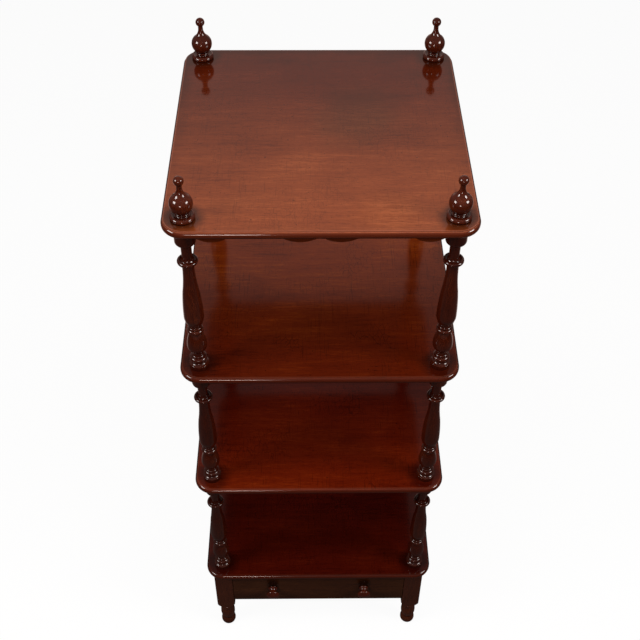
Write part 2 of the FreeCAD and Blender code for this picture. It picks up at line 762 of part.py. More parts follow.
def tails(edge, tip, low, high, play="0"):
    """The corners of each dovetail on an upright edge, from low to high, widened by play."""
    groups = []
    for number in range(TAILS):
        middle = f"({low} + ({high} - {low}) * {(number + 0.5) / TAILS})"
        root = f"(tail_width / 2 + {play})"
        end = f"(tail_width / 2 + tail_flare + {play})"
        groups.append([
            (edge, f"{middle} - {root}"), (tip, f"{middle} - {end}"),
            (tip, f"{middle} + {end}"), (edge, f"{middle} + {root}"),
        ])
    return groups


def tail_sockets(body, name, tail_span):
    """Cuts the sockets for a side's dovetails at both ends of a drawer's front or back."""
    depth = "(drawer_side_thickness + joint_gap)"
    for side, offset in (("left", f"{depth} - {DRAWER_HALF}"), ("right", f"{DRAWER_HALF} + {OVERRUN}")):
        sketch = new_sketch(body, f"{name}_{side}_sockets", "YZ_Plane", offset)
        for corners in tails(*tail_span, "joint_gap"):
            outline(sketch, corners)
        pocket = body.newObject("PartDesign::Pocket", f"{name}_{side}_pocket")
        pocket.Profile = sketch
        pocket.setExpression("Length", formula(f"{depth} + {OVERRUN}"))
        sketch.Visibility = False


def drawer():
    """The drawer: a half-blind dovetailed front, a through dovetailed back, and a bottom in grooves."""
    front_tip = "(drawer_front_thickness - front_tail_length)"
    front = new_body("drawer_front", DRAWER_PLACE)
    board = block(
        front, "Additive", "front_board",
        (f"-{DRAWER_HALF}", "0", DRAWER_FRONT_FOOT), (DRAWER_HALF, "drawer_front_thickness", DRAWER_TOP),
    )
    round_edges(front, "front_round", board, "drawer_front_round", lambda box: box.YMax < 0.01)
    front_span = (f"{front_tip} - joint_gap", DRAWER_FRONT_FOOT, DRAWER_TOP)
    tail_sockets(front, "front", ("drawer_front_thickness", *front_span))
    groove_half = f"({DRAWER_HALF} - drawer_side_thickness + groove_depth)"
    groove_top = "(groove_height + drawer_bottom_thickness + 2 * joint_gap)"
    block(
        front, "Subtractive", "front_groove",
        (f"-{groove_half}", "drawer_front_thickness - groove_depth", "groove_height"),
        (groove_half, "drawer_front_thickness", groove_top),
    )
    for side, sign in (("left", -1), ("right", 1)):
        place = (f"{sign} * knob_spacing / 2", "0", KNOB_LEVEL)
        size = ("knob_spigot_radius + joint_gap", "drawer_front_thickness")
        hole(front, f"{side}_knob_hole", place, *size, (0, 1, 0))

    side = new_body("drawer_side_left", (f"-{DRAWER_HALF}", *DRAWER_PLACE[1:]))
    front_tails = tails("drawer_front_thickness", front_tip, DRAWER_FRONT_FOOT, DRAWER_TOP)
    back_tails = tails(BACK_FACE, DRAWER_DEPTH, BACK_FOOT, BACK_TOP)
    strokes = [("drawer_front_thickness", "0"), (DRAWER_DEPTH, "0"), (DRAWER_DEPTH, BACK_FOOT)]
    strokes.append((BACK_FACE, BACK_FOOT))
    for corners in back_tails:
        strokes.extend(corners)
    strokes += [(BACK_FACE, DRAWER_TOP), ("drawer_front_thickness", DRAWER_TOP)]
    for corners in reversed(front_tails):
        strokes.extend(reversed(corners))
    pad(side, "side_board", "YZ_Plane", strokes, "drawer_side_thickness")
    block(
        side, "Subtractive", "side_groove",
        ("drawer_side_thickness - groove_depth", front_tip, "groove_height"),
        ("drawer_side_thickness", DRAWER_DEPTH, groove_top),
    )
    mirrored(side, "drawer_side_right")

    back = new_body("drawer_back", DRAWER_PLACE)
    block(
        back, "Additive", "back_board",
        (f"-{DRAWER_HALF}", BACK_FACE, BACK_FOOT), (DRAWER_HALF, DRAWER_DEPTH, BACK_TOP),
    )
    tail_sockets(back, "back", (BACK_FACE, DRAWER_DEPTH, BACK_FOOT, BACK_TOP))

    bottom = new_body("drawer_bottom", DRAWER_PLACE)
    tongue = f"({groove_half} - joint_gap)"
    underside = "(groove_height + joint_gap)"
    block(
        bottom, "Additive", "bottom_board",
        (f"-{tongue}", "drawer_front_thickness - groove_depth + joint_gap", underside),
        (tongue, DRAWER_DEPTH, BACK_FOOT),
    )
    middle = f"({DRAWER_DEPTH} - drawer_back_thickness / 2)"
    steps = [number - (BOTTOM_SCREWS - 1) / 2 for number in range(BOTTOM_SCREWS)]
    columns = [f"{step} * bottom_screw_spacing" for step in steps]
    for number, x in enumerate(columns):
        screw_hole(bottom, f"bottom_{number}", (x, middle, underside), "drawer_bottom_thickness")
        hole(
            back, f"back_{number}_pilot", (x, middle, BACK_FOOT), SCREW_HOLE,
            "screw_length - drawer_bottom_thickness + end_gap",
        )
    base = f"{DRAWER_PLACE[2]} + {underside}"
    screws("drawer_bottom_screws", [(x, f"{middle} + ({DRAWER_PLACE[1]})", base) for x in columns])

    knob_place = ("-knob_spacing / 2", DRAWER_PLACE[1], f"{DRAWER_PLACE[2]} + {KNOB_LEVEL}")
    knob = new_body("drawer_knob_left", knob_place, ((1, 0, 0), 90))
    revolve(knob, "knob_turning", [
        ("0", "-drawer_front_thickness"),
        ("knob_spigot_radius", "-drawer_front_thickness"),
        ("knob_spigot_radius", "0"),
        ("knob_collar_radius - knob_collar_round", "0"),
        ("knob_collar_radius - knob_collar_round", "knob_collar_height", ("rise", "knob_collar_round")),
        ("knob_stem_radius", "knob_stem_height", "cove"),
        ("knob_rim_radius", "knob_rim_height", "cove"),
        ("knob_radius", "knob_widest", "swell"),
        ("knob_face_radius", "knob_length - knob_face_rise", "swell"),
        ("0", "knob_length", "dome"),
    ])
    mirrored(knob, "drawer_knob_right")


def apron(label, place, half_span, rotation=None):
    """A board with a scalloped lower edge: a lobe beside each column and two that meet in the middle."""
    body = new_body(label, place, rotation)
    half = f"({half_span} - cap_radius - joint_gap)"
    end_lobe = ("rise", "apron_lobe_depth - (apron_end_depth + apron_arch_depth) / 2")
    centre_lobe = ("rise", "apron_lobe_depth - (apron_cusp_depth + apron_arch_depth) / 2")
    arch = ("rise", "-apron_arch_rise")
    pad(body, f"{label}_board", "XZ_Plane", [
        (f"-{half}", "0"),
        (f"-{half}", "-apron_end_depth"),
        (f"end_lobe_width - {half}", "-apron_arch_depth", end_lobe),
        ("-centre_lobe_width", "-apron_arch_depth", arch),
        ("0", "-apron_cusp_depth", centre_lobe),
        ("centre_lobe_width", "-apron_arch_depth", centre_lobe),
        (f"{half} - end_lobe_width", "-apron_arch_depth", arch),
        (half, "-apron_end_depth", end_lobe),
        (half, "0"),
    ], "apron_thickness", both_ways=True)
    reach = f"({half} + apron_tenon_length)"
    block(
        body, "Additive", f"{label}_tenons",
        (f"-{reach}", "-apron_tenon_thickness / 2", "-apron_tenon_height"),
        (reach, "apron_tenon_thickness / 2", "0"),
    )
    return body


def turned_pieces():
    """Columns, finials and legs: each is made on the left and mirrored to the right."""
    for depth in ("front", "back"):
        corner = f"{depth}_left"
        made = [column(f"{tier}_{corner}", corner, *size) for tier, size in TIERS.items()]
        apron_slots(made[-1], corner)
        made.append(finial(f"finial_{corner}", corner))
        made.append(leg(f"leg_{corner}", corner))
        for piece in made:
            mirrored(piece, piece.Label.replace("left", "right"))


for shelf_label, shelf_top in SHELVES.items():
    shelf(shelf_label, shelf_top)
turned_pieces()
apron("front_apron", ("0", f"-{AXIS_Y}", TOP_UNDERSIDE), AXIS_X)
side_apron = apron("side_apron_left", (f"-{AXIS_X}", "0", TOP_UNDERSIDE), AXIS_Y, ((0, 0, 1), 90))
mirrored(side_apron, "side_apron_right")
rails()
runners()
drawer()
doc.recompute()

for item in doc.Objects:
    if "Invalid" in item.State or "Error" in item.State:
        raise RuntimeError(f"{item.Label} failed: {item.State}")
for piece in pieces:
    if piece.Shape.isNull() or not piece.Shape.isValid() or not piece.Shape.Solids:
        raise RuntimeError(f"{piece.Label} has no valid solid")
os.makedirs("parts", exist_ok=True)
for piece in pieces:
    piece.Shape.exportStep(f"parts/{piece.Label}.step")
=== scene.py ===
"""The etagere's looks: French polished mahogany, pine inside the drawer, and a plain pale studio.

Metres, +Z up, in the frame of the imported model. The front looks along -Y.
"""
import math

import bpy
from mathutils import Matrix, Vector

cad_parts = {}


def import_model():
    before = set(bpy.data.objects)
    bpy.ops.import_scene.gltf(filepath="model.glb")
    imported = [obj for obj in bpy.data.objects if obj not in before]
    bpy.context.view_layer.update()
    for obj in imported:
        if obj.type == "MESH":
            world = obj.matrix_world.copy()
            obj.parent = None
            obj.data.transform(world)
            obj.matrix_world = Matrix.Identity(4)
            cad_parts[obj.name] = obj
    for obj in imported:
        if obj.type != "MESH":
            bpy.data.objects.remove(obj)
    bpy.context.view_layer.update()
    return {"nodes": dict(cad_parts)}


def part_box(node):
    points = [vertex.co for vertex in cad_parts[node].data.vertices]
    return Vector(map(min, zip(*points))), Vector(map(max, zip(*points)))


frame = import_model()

NODES = frame["nodes"]

# ---------------------------------------------------------------------------------------------------------
# Camera and studio
# ---------------------------------------------------------------------------------------------------------

# The camera that took the photograph, worked out from the edges of the boards.
CAMERA_PLACE = (-0.0190, -1.4109, 2.2111)
CAMERA_PITCH = math.radians(45.697)
CAMERA_YAW = math.radians(0.896)
CAMERA_ROLL = math.radians(0.431)
CAMERA_LENS_MM = 58.307
CAMERA_SENSOR_MM = 36.0

# The floor and the room as the light sees them, and the background as the eye does. The floor shows a share
# of the shadow that falls on it.
FLOOR_SIZE = 12.0
FLOOR_COLOUR = (0.06, 0.058, 0.056, 1.0)
ROOM_COLOUR = (0.11, 0.108, 0.106, 1.0)
BACKGROUND = (1.0, 1.0, 1.0, 1.0)
SHADOW_SHARE = 0.05

# The background in the polish: its colour, and how much of it shows from behind the stand, from above and
# from elsewhere.
POLISH_BACKGROUND = (1.0, 0.69, 0.61, 1.0)
BEHIND_IN_POLISH = 0.8
ABOVE_IN_POLISH = 0.24
FRONT_IN_POLISH = 0.02
# Where it comes and goes: on the floor in metres behind and beside the stand, in the room by the parts of a
# direction.
FLOOR_BEHIND = (-0.1, 0.9)
FLOOR_BESIDE = (0.8, 1.6)
FLOOR_BESIDE_SHARE = 0.1
ROOM_BEHIND = (0.1, 0.5)
ROOM_BESIDE = (0.35, 0.65)
ROOM_BESIDE_SHARE = 0.2
ROOM_BEHIND_END = (0.67, 0.73)
ROOM_ABOVE = (0.05, 0.6)

# The lamps: place, what each looks at, width and height, power in watts, colour.
LAMPS = {
    "left_box": ((-2.0, -0.95, 2.1), (0, 0, 0.95), (0.9, 0.65), 41, (1.0, 0.93, 0.90)),
    "right_box": ((2.0, -0.95, 2.1), (0, 0, 0.95), (0.9, 0.65), 41, (1.0, 0.93, 0.90)),
    "front_box": ((-0.33, -2.6, 1.5), (0, 0, 0.95), (0.27, 0.3), 11, (1.0, 0.78, 0.70)),
    "top_box": ((0.0, -0.45, 1.95), (0, -0.2, 1.2), (0.6, 0.45), 11, (1.0, 1.0, 1.0)),
}
LAMPS_WITHOUT_HIGHLIGHT = ("top_box",)

# ---------------------------------------------------------------------------------------------------------
# Wood and polish
# ---------------------------------------------------------------------------------------------------------

# Turned and joined mahogany: grain axis, dark, middle and light tone, weight and blur of the polish.
WOODS = {
    "turned_mahogany": (
        "Z", (0.014, 0.0014, 0.0004), (0.029, 0.0036, 0.0009), (0.056, 0.0092, 0.0022), 0.9, 0.115),
    "leg_mahogany": (
        "Z", (0.029, 0.0065, 0.002), (0.052, 0.0115, 0.004), (0.083, 0.021, 0.007), 0.6, 0.08),
    "rail_mahogany_crosswise": (
        "X", (0.027, 0.008, 0.0035), (0.049, 0.014, 0.005), (0.082, 0.026, 0.009), 0.4, 0.08),
    "drawer_mahogany": (
        "X", (0.027, 0.0082, 0.0035), (0.048, 0.0145, 0.005), (0.08, 0.026, 0.009), 0.4, 0.08),
    "rail_mahogany": (
        "Y", (0.04, 0.009, 0.004), (0.07, 0.016, 0.007), (0.11, 0.03, 0.013), 0.25, 0.08),
    "front_apron_mahogany": (
        "X", (0.045, 0.007, 0.002), (0.085, 0.014, 0.003), (0.13, 0.028, 0.006), 0.2, 0.08),
    "side_apron_mahogany": (
        "Y", (0.045, 0.007, 0.002), (0.085, 0.014, 0.003), (0.13, 0.028, 0.006), 0.2, 0.08),
    "knob_mahogany": (
        "Y", (0.023, 0.0036, 0.0012), (0.053, 0.0072, 0.0024), (0.096, 0.016, 0.006), 0.7, 0.08),
}
# The words in the names of the pieces made of each.
WOOD_PIECES = {
    "turned_mahogany": ("column", "finial"),
    "leg_mahogany": ("leg",),
    "rail_mahogany_crosswise": ("front_rail", "back_rail"),
    "drawer_mahogany": ("drawer_front",),
    "rail_mahogany": ("side_rail",),
    "front_apron_mahogany": ("front_apron",),
    "side_apron_mahogany": ("side_apron",),
    "knob_mahogany": ("knob",),
}

# The boards: dark, middle and light tone in front, set per board with painted light and shade in them, and
# the share of them left at the back (painted shading from front to back); weight and blur of the polish; how
# strong the fine cracks, the grime and painted shade, and the worn line with its painted highlight are.
BOARDS = {
    "top_shelf": {
        "painted_back_shading": (0.46, 0.25, 0.2, 1.0), "gloss": 0.85, "blur": 0.09,
        "tones": ((0.067, 0.0120, 0.0034), (0.117, 0.0238, 0.0060), (0.175, 0.042, 0.0115)),
        "crackle": 0.6, "grime_and_shade": 1.0, "wear_and_highlight": 0.42,
    },
    "upper_shelf": {
        "painted_back_shading": (3.0, 4.3, 3.2, 1.0), "gloss": 0.65, "blur": 0.11,
        "tones": ((0.031, 0.0027, 0.0006), (0.057, 0.0055, 0.0009), (0.090, 0.0115, 0.0015)),
        "crackle": 1.0, "grime_and_shade": 0.7, "wear_and_highlight": 0.17,
    },
    "lower_shelf": {
        "painted_back_shading": (0.26, 0.07, 0.3, 1.0), "gloss": 0.65, "blur": 0.11,
        "tones": ((0.044, 0.0025, 0.0006), (0.086, 0.0068, 0.0010), (0.134, 0.0145, 0.0020)),
        "crackle": 1.0, "grime_and_shade": 0.7, "wear_and_highlight": 0.24,
    },
    "base_shelf": {
        "painted_back_shading": (0.9, 0.6, 0.8, 1.0), "gloss": 0.65, "blur": 0.11,
        "tones": ((0.023, 0.0013, 0.0005), (0.041, 0.0027, 0.0007), (0.062, 0.0053, 0.001)),
        "crackle": 1.0, "grime_and_shade": 0.7, "wear_and_highlight": 0.08,
    },
}
CORNER_RADIUS = 0.036
COLUMN_X = 0.2063
COLUMN_Y = 0.22215

# Noise along the grain: length and width of its features in metres, detail, roughness, distortion.
FIGURE = (0.40, 0.07, 3.0, 0.5, 0.5)
RIBBON = (0.12, 0.009, 4.0, 0.65, 0.3)
FIBRE = (0.028, 0.0017, 3.0, 0.7, 0.0)
PORES = (0.008, 0.0009, 2.0, 0.5, 0.0)
PINE_RINGS = (0.8, 0.012, 2.0, 0.5, 0.5)
PINE_FIBRE = (0.05, 0.0012, 3.0, 0.6, 0.0)
# Noise that is the same all ways: scale per metre, detail, roughness.
CLOUD = (7.0, 5.0, 0.65)
MOTTLE = (22.0, 4.0, 0.65)
PAINTED_SHADING_NOISE = (4.0, 3.0, 0.5)
CELL_PATCHES = (9.0, 3.0, 0.6)
THREAD_PATCHES = (10.0, 2.0, 0.5)
SPECKS = (160.0, 2.0, 0.6)
PAINTED_KNOB_REFLECTION_RAGS = (60.0, 3.0, 0.6)
PINE_STAIN = (7.0, 4.0, 0.6)
BRASS_STAIN = (400.0, 3.0, 0.6)

# The grain's slow bends, and how much each pattern adds to the tone.
WARP_SCALE = 3.0
WARP_DETAIL = 2.0
WARP_REACH = 0.02
FIGURE_SHARE = 0.22
RIBBON_SHARE = 0.24
FIBRE_SHARE = 0.34
CLOUD_SHARE = 0.30
NOISE_RANGE = (0.3, 0.7)
CLOUD_RANGE = (0.25, 0.75)
DARK_TO_MIDDLE = (0.1, 0.55)
MIDDLE_TO_LIGHT = (0.55, 1.0)
PORE_RANGE = (0.58, 0.70)
PORE_SHARE = 0.5
PORE_TONE = 0.3
PORE_DEPTH = -0.3
FIBRE_RISE = 0.1
# How far apart in the patterns two pieces can lie.
PIECE_SHIFT = 7.0

# French polish: the wood under it, the coat, and the soft edges that it gives.
WOOD_ROUGHNESS = 0.27
WOOD_IOR = 1.45
COAT_IOR = 1.5
RELIEF_STRENGTH = 0.3
RELIEF_DEPTH = 0.0002
SOFT_EDGE = 0.0007
RAY_SAMPLES = 4

# Grime and painted shade in hollows: how far it reaches, from which open share on it shows, how dense and
# how dark it is.
HOLLOW_REACH = 0.007
HOLLOW_RANGE = (0.30, 0.85)
HOLLOW_SHARE = 0.85
GRIME_AND_PAINTED_SHADE_TONE = 0.25

# The painted reflection and shadow of each knob, a dark patch above it, and the darker lower edge of the
# drawer front (its levels in metres).
PAINTED_KNOB_REFLECTION_RISE = 0.015
PAINTED_KNOB_REFLECTION_NARROWING = 0.75
PAINTED_KNOB_REFLECTION_RAGGEDNESS = 0.006
PAINTED_KNOB_REFLECTION_RANGE = (0.010, 0.022)
PAINTED_KNOB_REFLECTION_SHARE = 0.8
DRAWER_FOOT = (0.130, 0.165)
DRAWER_FOOT_SHARE = 0.35
DRAWER_FOOT_TONE = 0.3

# The darkest polish on the boards, as a share of their dark tone, also used as their painted shade.
DEEP_TONE = 0.22
# Where the front's tones go over to the back's, along Y: painted light and shade, darker or lighter
# towards the back as the lamps light each board.
PAINTED_SHADING_RAGGEDNESS = 0.16
PAINTED_SHADING_RANGE = (-0.13, 0.27)
# Fine cracks: a net of cells in patches, and threads across the grain in others.
CELL_STRETCH = (0.55, 1.6, 1.0)
CELL_SCALE = 75.0
CELL_LINE = (0.0, 0.045)
CELL_PATCH_RANGE = (0.48, 0.62)
CELL_SHARE = 0.6
CELL_DEPTH = -0.8
THREAD_STRETCH = (0.0014, 0.05, 1.0)
THREAD_NOISE = (1.0, 2.0, 0.6, 0.6)
THREAD_RANGE = (0.58, 0.68)
THREAD_PATCH_RANGE = (0.40, 0.56)
THREAD_SHARE = 0.45
THREAD_DEPTH = -0.6
SPECK_RANGE = (0.70, 0.76)
SPECK_SHARE = 0.7
# The greyer bloom on the top board.
BLOOM_PLACE = (0.065, 0.05)
BLOOM_NARROWING = 1.2
BLOOM_RAGGEDNESS = -0.10
BLOOM_RANGE = (-0.02, 0.08)
BLOOM_TINT = (0.74, 0.95, 1.15, 1.0)
# Old polish along the boards' edges, more of it towards the back, and round the columns' feet, where it is
# also painted shade.
BAND_RAGGEDNESS = 0.03
BAND_RANGE = (0.012, 0.042)
BAND_SHARE = 0.8
BACKWARD_RANGE = (-0.10, 0.24)
BACKWARD_START = 0.15
RING_RAGGEDNESS = 0.022
RING_RANGE = (0.030, 0.052)
RING_SHARE = 0.85
# The worn line inside the boards' round noses, partly a painted highlight, and painted shade on the noses,
# the flanks and the undersides. Ranges run inward from a board's outline. Depths run down from its top, and
# the flanks' range out from its middle.
WEAR_AND_HIGHLIGHT_BEGIN = (0.0020, 0.0028)
WEAR_AND_HIGHLIGHT_END = (0.0042, 0.0054)
WEAR_AND_HIGHLIGHT_TONE = (0.20, 0.060, 0.034, 1.0)
NOSE_SHADE_RANGE = (0.0012, 0.0024)
NOSE_SHADE_DEPTHS = (0.003, 0.005)
NOSE_SHADE_SHARE = 0.9
NOSE_SHADE_TONE = (0.048, 0.0062, 0.0016, 1.0)
FLANK_SHADE_RANGE = (0.2366, 0.2380)
FLANK_SHADE_SHARE = 0.85
UNDERSIDE_SHADE_DEPTHS = (0.0085, 0.0125)
UNDERSIDE_SHADE_SHARE = 0.6

# ---------------------------------------------------------------------------------------------------------
# Pine and brass
# ---------------------------------------------------------------------------------------------------------

PINE_LENGTHWISE = (
    "drawer_side_left", "drawer_side_right", "runner_left", "runner_right", "guide_left", "guide_right",
)
PINE_CROSSWISE = ("drawer_back", "drawer_bottom", "drawer_stops")
PINE_PALE = (0.42, 0.24, 0.10, 1.0)
PINE_RING_TONE = (0.24, 0.11, 0.04, 1.0)
PINE_FIBRE_TONE = (0.17, 0.08, 0.03, 1.0)
PINE_STAIN_TONE = (0.10, 0.05, 0.025, 1.0)
PINE_MARK_SHARE = 0.5
PINE_RING_RANGE = (0.4, 0.62)
PINE_FIBRE_RANGE = (0.35, 0.75)
PINE_STAIN_RANGE = (0.5, 0.75)
PINE_ROUGHNESS = (0.55, 0.75)
PINE_RELIEF_STRENGTH = 0.4
PINE_RELIEF_DEPTH = 0.0003
BRASS_BRIGHT = (0.42, 0.27, 0.09, 1.0)
BRASS_DULL = (0.12, 0.08, 0.04, 1.0)
BRASS_DULL_RANGE = (0.35, 0.7)
BRASS_ROUGHNESS = (0.3, 0.6)


# ---------------------------------------------------------------------------------------------------------
# Node trees
# ---------------------------------------------------------------------------------------------------------

class Tree:
    """Short names for building one material's node tree."""

    def __init__(self, owner):
        owner.use_nodes = True
        self.tree = owner.node_tree
        self.tree.nodes.clear()

    def add(self, kind, inputs=None, **settings):
        """A node of that kind. inputs maps a socket's name or number to a value or another socket."""
        node = self.tree.nodes.new(f"ShaderNode{kind}")
        for key, setting in settings.items():
            setattr(node, key, setting)
        for key, given in (inputs or {}).items():
            self.join(given, node.inputs[key])
        return node

    def join(self, given, socket):
        """Links a socket, or sets a plain value."""
        if isinstance(given, bpy.types.NodeSocket):
            self.tree.links.new(given, socket)
        else:
            socket.default_value = given

    def end(self, shader, kind="Material"):
        """Makes a shader the tree's result."""
        self.add(f"Output{kind}", {"Surface": shader.outputs[0]})

    def math(self, operation, first, second=0.0, third=0.0):
        """The result of a Math node."""
        return self.add("Math", {0: first, 1: second, 2: third}, operation=operation).outputs[0]

    def length(self, first, second):
        """The length of a flat vector."""
        square = self.math("MULTIPLY_ADD", first, first, self.math("MULTIPLY", second, second))
        return self.math("SQRT", square)

    def ramp(self, factor, bounds, start=0.0, end=1.0):
        """factor mapped smoothly from its bounds to start..end."""
        low, high = bounds
        inputs = {"Value": factor, "From Min": low, "From Max": high, "To Min": start, "To Max": end}
        return self.add("MapRange", inputs, interpolation_type="SMOOTHSTEP").outputs["Result"]

    def blend(self, factor, first, second, mode="MIX"):
        """Two colours mixed by factor."""
        node = self.add("Mix", data_type="RGBA", blend_type=mode, clamp_factor=True)
        of_colours = [socket for socket in node.inputs if socket.type == "RGBA"]
        self.join(factor, node.inputs["Factor"])
        self.join(first, of_colours[0])
        self.join(second, of_colours[1])
        return next(socket for socket in node.outputs if socket.type == "RGBA")

    def paint(self, body, mask, share, tone):
        """A colour with a tone laid over it where the mask says, at most to that share."""
        return self.blend(self.math("MULTIPLY", mask, share), body, tone)

    def noise(self, place, scale, detail, roughness, distortion=0.0):
        """A noise pattern's value."""
        inputs = {"Vector": place, "Scale": scale, "Detail": detail, "Roughness": roughness}
        inputs["Distortion"] = distortion
        return self.add("TexNoise", inputs).outputs["Fac"]

    def stretched(self, place, scales):
        """place scaled along each axis."""
        return self.add("Mapping", {"Vector": place, "Scale": scales}, vector_type="TEXTURE").outputs[0]

    def grain(self, place, axis, along, across, detail, roughness, distortion):
        """A noise pattern that is long along one axis."""
        scales = tuple(along if letter == axis else across for letter in "XYZ")
        return self.noise(self.stretched(place, scales), 1.0, detail, roughness, distortion)


def colour(red, green, blue):
    """An RGBA colour from linear values."""
    return (red, green, blue, 1.0)


def shaded(tone, share):
    """A colour brought down to a share of itself."""
    return (*(share * value for value in tone[:3]), 1.0)


def new_material(name):
    """A new material and its empty tree."""
    material = bpy.data.materials.new(name)
    return material, Tree(material)


# ---------------------------------------------------------------------------------------------------------
# Wood
# ---------------------------------------------------------------------------------------------------------

def varied_place(tree):
    """Object coordinates, and the same shifted by an amount of its own for each piece."""
    here = tree.add("TexCoord").outputs["Object"]
    shift = tree.math("MULTIPLY", tree.add("ObjectInfo").outputs["Random"], PIECE_SHIFT)
    return here, tree.add("VectorMath", {0: here, 1: shift}, operation="ADD").outputs[0]


def wood_tone(tree, place, axis, dark, middle, light):
    """The colour and fine relief of mahogany whose grain runs along one axis: (colour, height)."""
    warp = tree.add("TexNoise", {"Vector": place, "Scale": WARP_SCALE, "Detail": WARP_DETAIL})
    bend = tree.add("VectorMath", {0: warp.outputs["Color"], "Scale": WARP_REACH}, operation="SCALE")
    wavy = tree.add("VectorMath", {0: place, 1: bend.outputs[0]}, operation="ADD").outputs[0]
    fibre = tree.grain(wavy, axis, *FIBRE)
    tone = 0.0
    for pattern, bounds, share in (
        (tree.grain(wavy, axis, *FIGURE), NOISE_RANGE, FIGURE_SHARE),
        (tree.grain(wavy, axis, *RIBBON), NOISE_RANGE, RIBBON_SHARE),
        (fibre, NOISE_RANGE, FIBRE_SHARE),
        (tree.noise(place, *CLOUD), CLOUD_RANGE, CLOUD_SHARE),
    ):
        tone = tree.math("MULTIPLY_ADD", tree.ramp(pattern, bounds), share, tone)
    body = tree.blend(tree.ramp(tone, DARK_TO_MIDDLE), dark, middle)
    body = tree.blend(tree.ramp(tone, MIDDLE_TO_LIGHT), body, light)
    pore = tree.ramp(tree.grain(wavy, axis, *PORES), PORE_RANGE)
    body = tree.paint(body, pore, PORE_SHARE, shaded(dark, PORE_TONE))
    return body, tree.math("MULTIPLY_ADD", pore, PORE_DEPTH, tree.math("MULTIPLY", fibre, FIBRE_RISE))


def polished(tree, body, height, gloss, blur):
    """Ends a tree in French polish of that weight and blur over a colour and a relief."""
    soft = tree.add("Bevel", {"Radius": SOFT_EDGE}, samples=RAY_SAMPLES)
    bump = tree.add("Bump", {"Height": height, "Strength": RELIEF_STRENGTH, "Distance": RELIEF_DEPTH})
    tree.join(soft.outputs[0], bump.inputs["Normal"])
    tree.end(tree.add("BsdfPrincipled", {
        "Base Color": body, "Normal": bump.outputs[0], "Roughness": WOOD_ROUGHNESS, "IOR": WOOD_IOR,
        "Specular IOR Level": 0.0, "Coat Weight": gloss, "Coat IOR": COAT_IOR, "Coat Roughness": blur,
    }))


def grimed_and_shaded(tree, body, dark):
    """A colour darkened in its hollows by dirty old polish and by painted shade."""
    open_share = tree.add("AmbientOcclusion", {"Distance": HOLLOW_REACH}, samples=RAY_SAMPLES).outputs["AO"]
    return tree.blend(tree.ramp(open_share, HOLLOW_RANGE, HOLLOW_SHARE, 0.0), body, shaded(dark, GRIME_AND_PAINTED_SHADE_TONE))


def with_painted_knob_reflections_and_dark_foot(tree, body, here, place, dark):
    """The drawer front's colour, with a painted reflection and shadow of each knob above it, and darker
    along its lower edge.
    """
    across, _, upward = tree.add("SeparateXYZ", {0: here}).outputs
    low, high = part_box("drawer_knob_right")
    # Painted reflection and shadow of the knobs: a dark patch above each.
    aside = tree.math("SUBTRACT", tree.math("ABSOLUTE", across), (low[0] + high[0]) / 2)
    above = tree.math("SUBTRACT", upward, (low[2] + high[2]) / 2 + PAINTED_KNOB_REFLECTION_RISE)
    away = tree.length(aside, tree.math("MULTIPLY", above, PAINTED_KNOB_REFLECTION_NARROWING))
    ragged = tree.math("MULTIPLY_ADD", tree.noise(place, *PAINTED_KNOB_REFLECTION_RAGS), PAINTED_KNOB_REFLECTION_RAGGEDNESS, away)
    body = tree.blend(tree.ramp(ragged, PAINTED_KNOB_REFLECTION_RANGE, PAINTED_KNOB_REFLECTION_SHARE, 0.0), body, shaded(dark, GRIME_AND_PAINTED_SHADE_TONE))
    foot = tree.ramp(upward, DRAWER_FOOT, DRAWER_FOOT_SHARE, 0.0)
    return tree.blend(foot, body, shaded(dark, DRAWER_FOOT_TONE))


def mahogany(name):
    """Polished mahogany of one of the kinds in WOODS."""
    axis, *tones, gloss, blur = WOODS[name]
    dark, middle, light = (colour(*tone) for tone in tones)
    material, tree = new_material(name)
    here, place = varied_place(tree)
    body, height = wood_tone(tree, place, axis, dark, middle, light)
    if name == "drawer_mahogany":
        body = with_painted_knob_reflections_and_dark_foot(tree, body, here, place, dark)
    # Grime and painted shade in the hollows.
    polished(tree, grimed_and_shaded(tree, body, dark), height, gloss, blur)
    return material


# ---------------------------------------------------------------------------------------------------------
# Boards
# ---------------------------------------------------------------------------------------------------------

def from_edge(tree, across, along):
    """How far inside a board's rounded outline a point lies, in metres."""
    reach = []
    for coordinate, low, high in zip((across, along), *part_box("top_shelf")):
        distance = tree.math("ABSOLUTE", tree.math("SUBTRACT", coordinate, (high + low) / 2))
        reach.append(tree.math("SUBTRACT", distance, (high - low) / 2 - CORNER_RADIUS))
    corner = tree.length(*(tree.math("MAXIMUM", value, 0.0) for value in reach))
    inside = tree.math("MINIMUM", tree.math("MAXIMUM", *reach), 0.0)
    return tree.math("SUBTRACT", CORNER_RADIUS, tree.math("ADD", corner, inside))


def from_columns(tree, across, along):
    """The distance from the nearest column's axis, in metres."""
    aside = tree.math("SUBTRACT", tree.math("ABSOLUTE", across), COLUMN_X)
    return tree.length(aside, tree.math("SUBTRACT", tree.math("ABSOLUTE", along), COLUMN_Y))


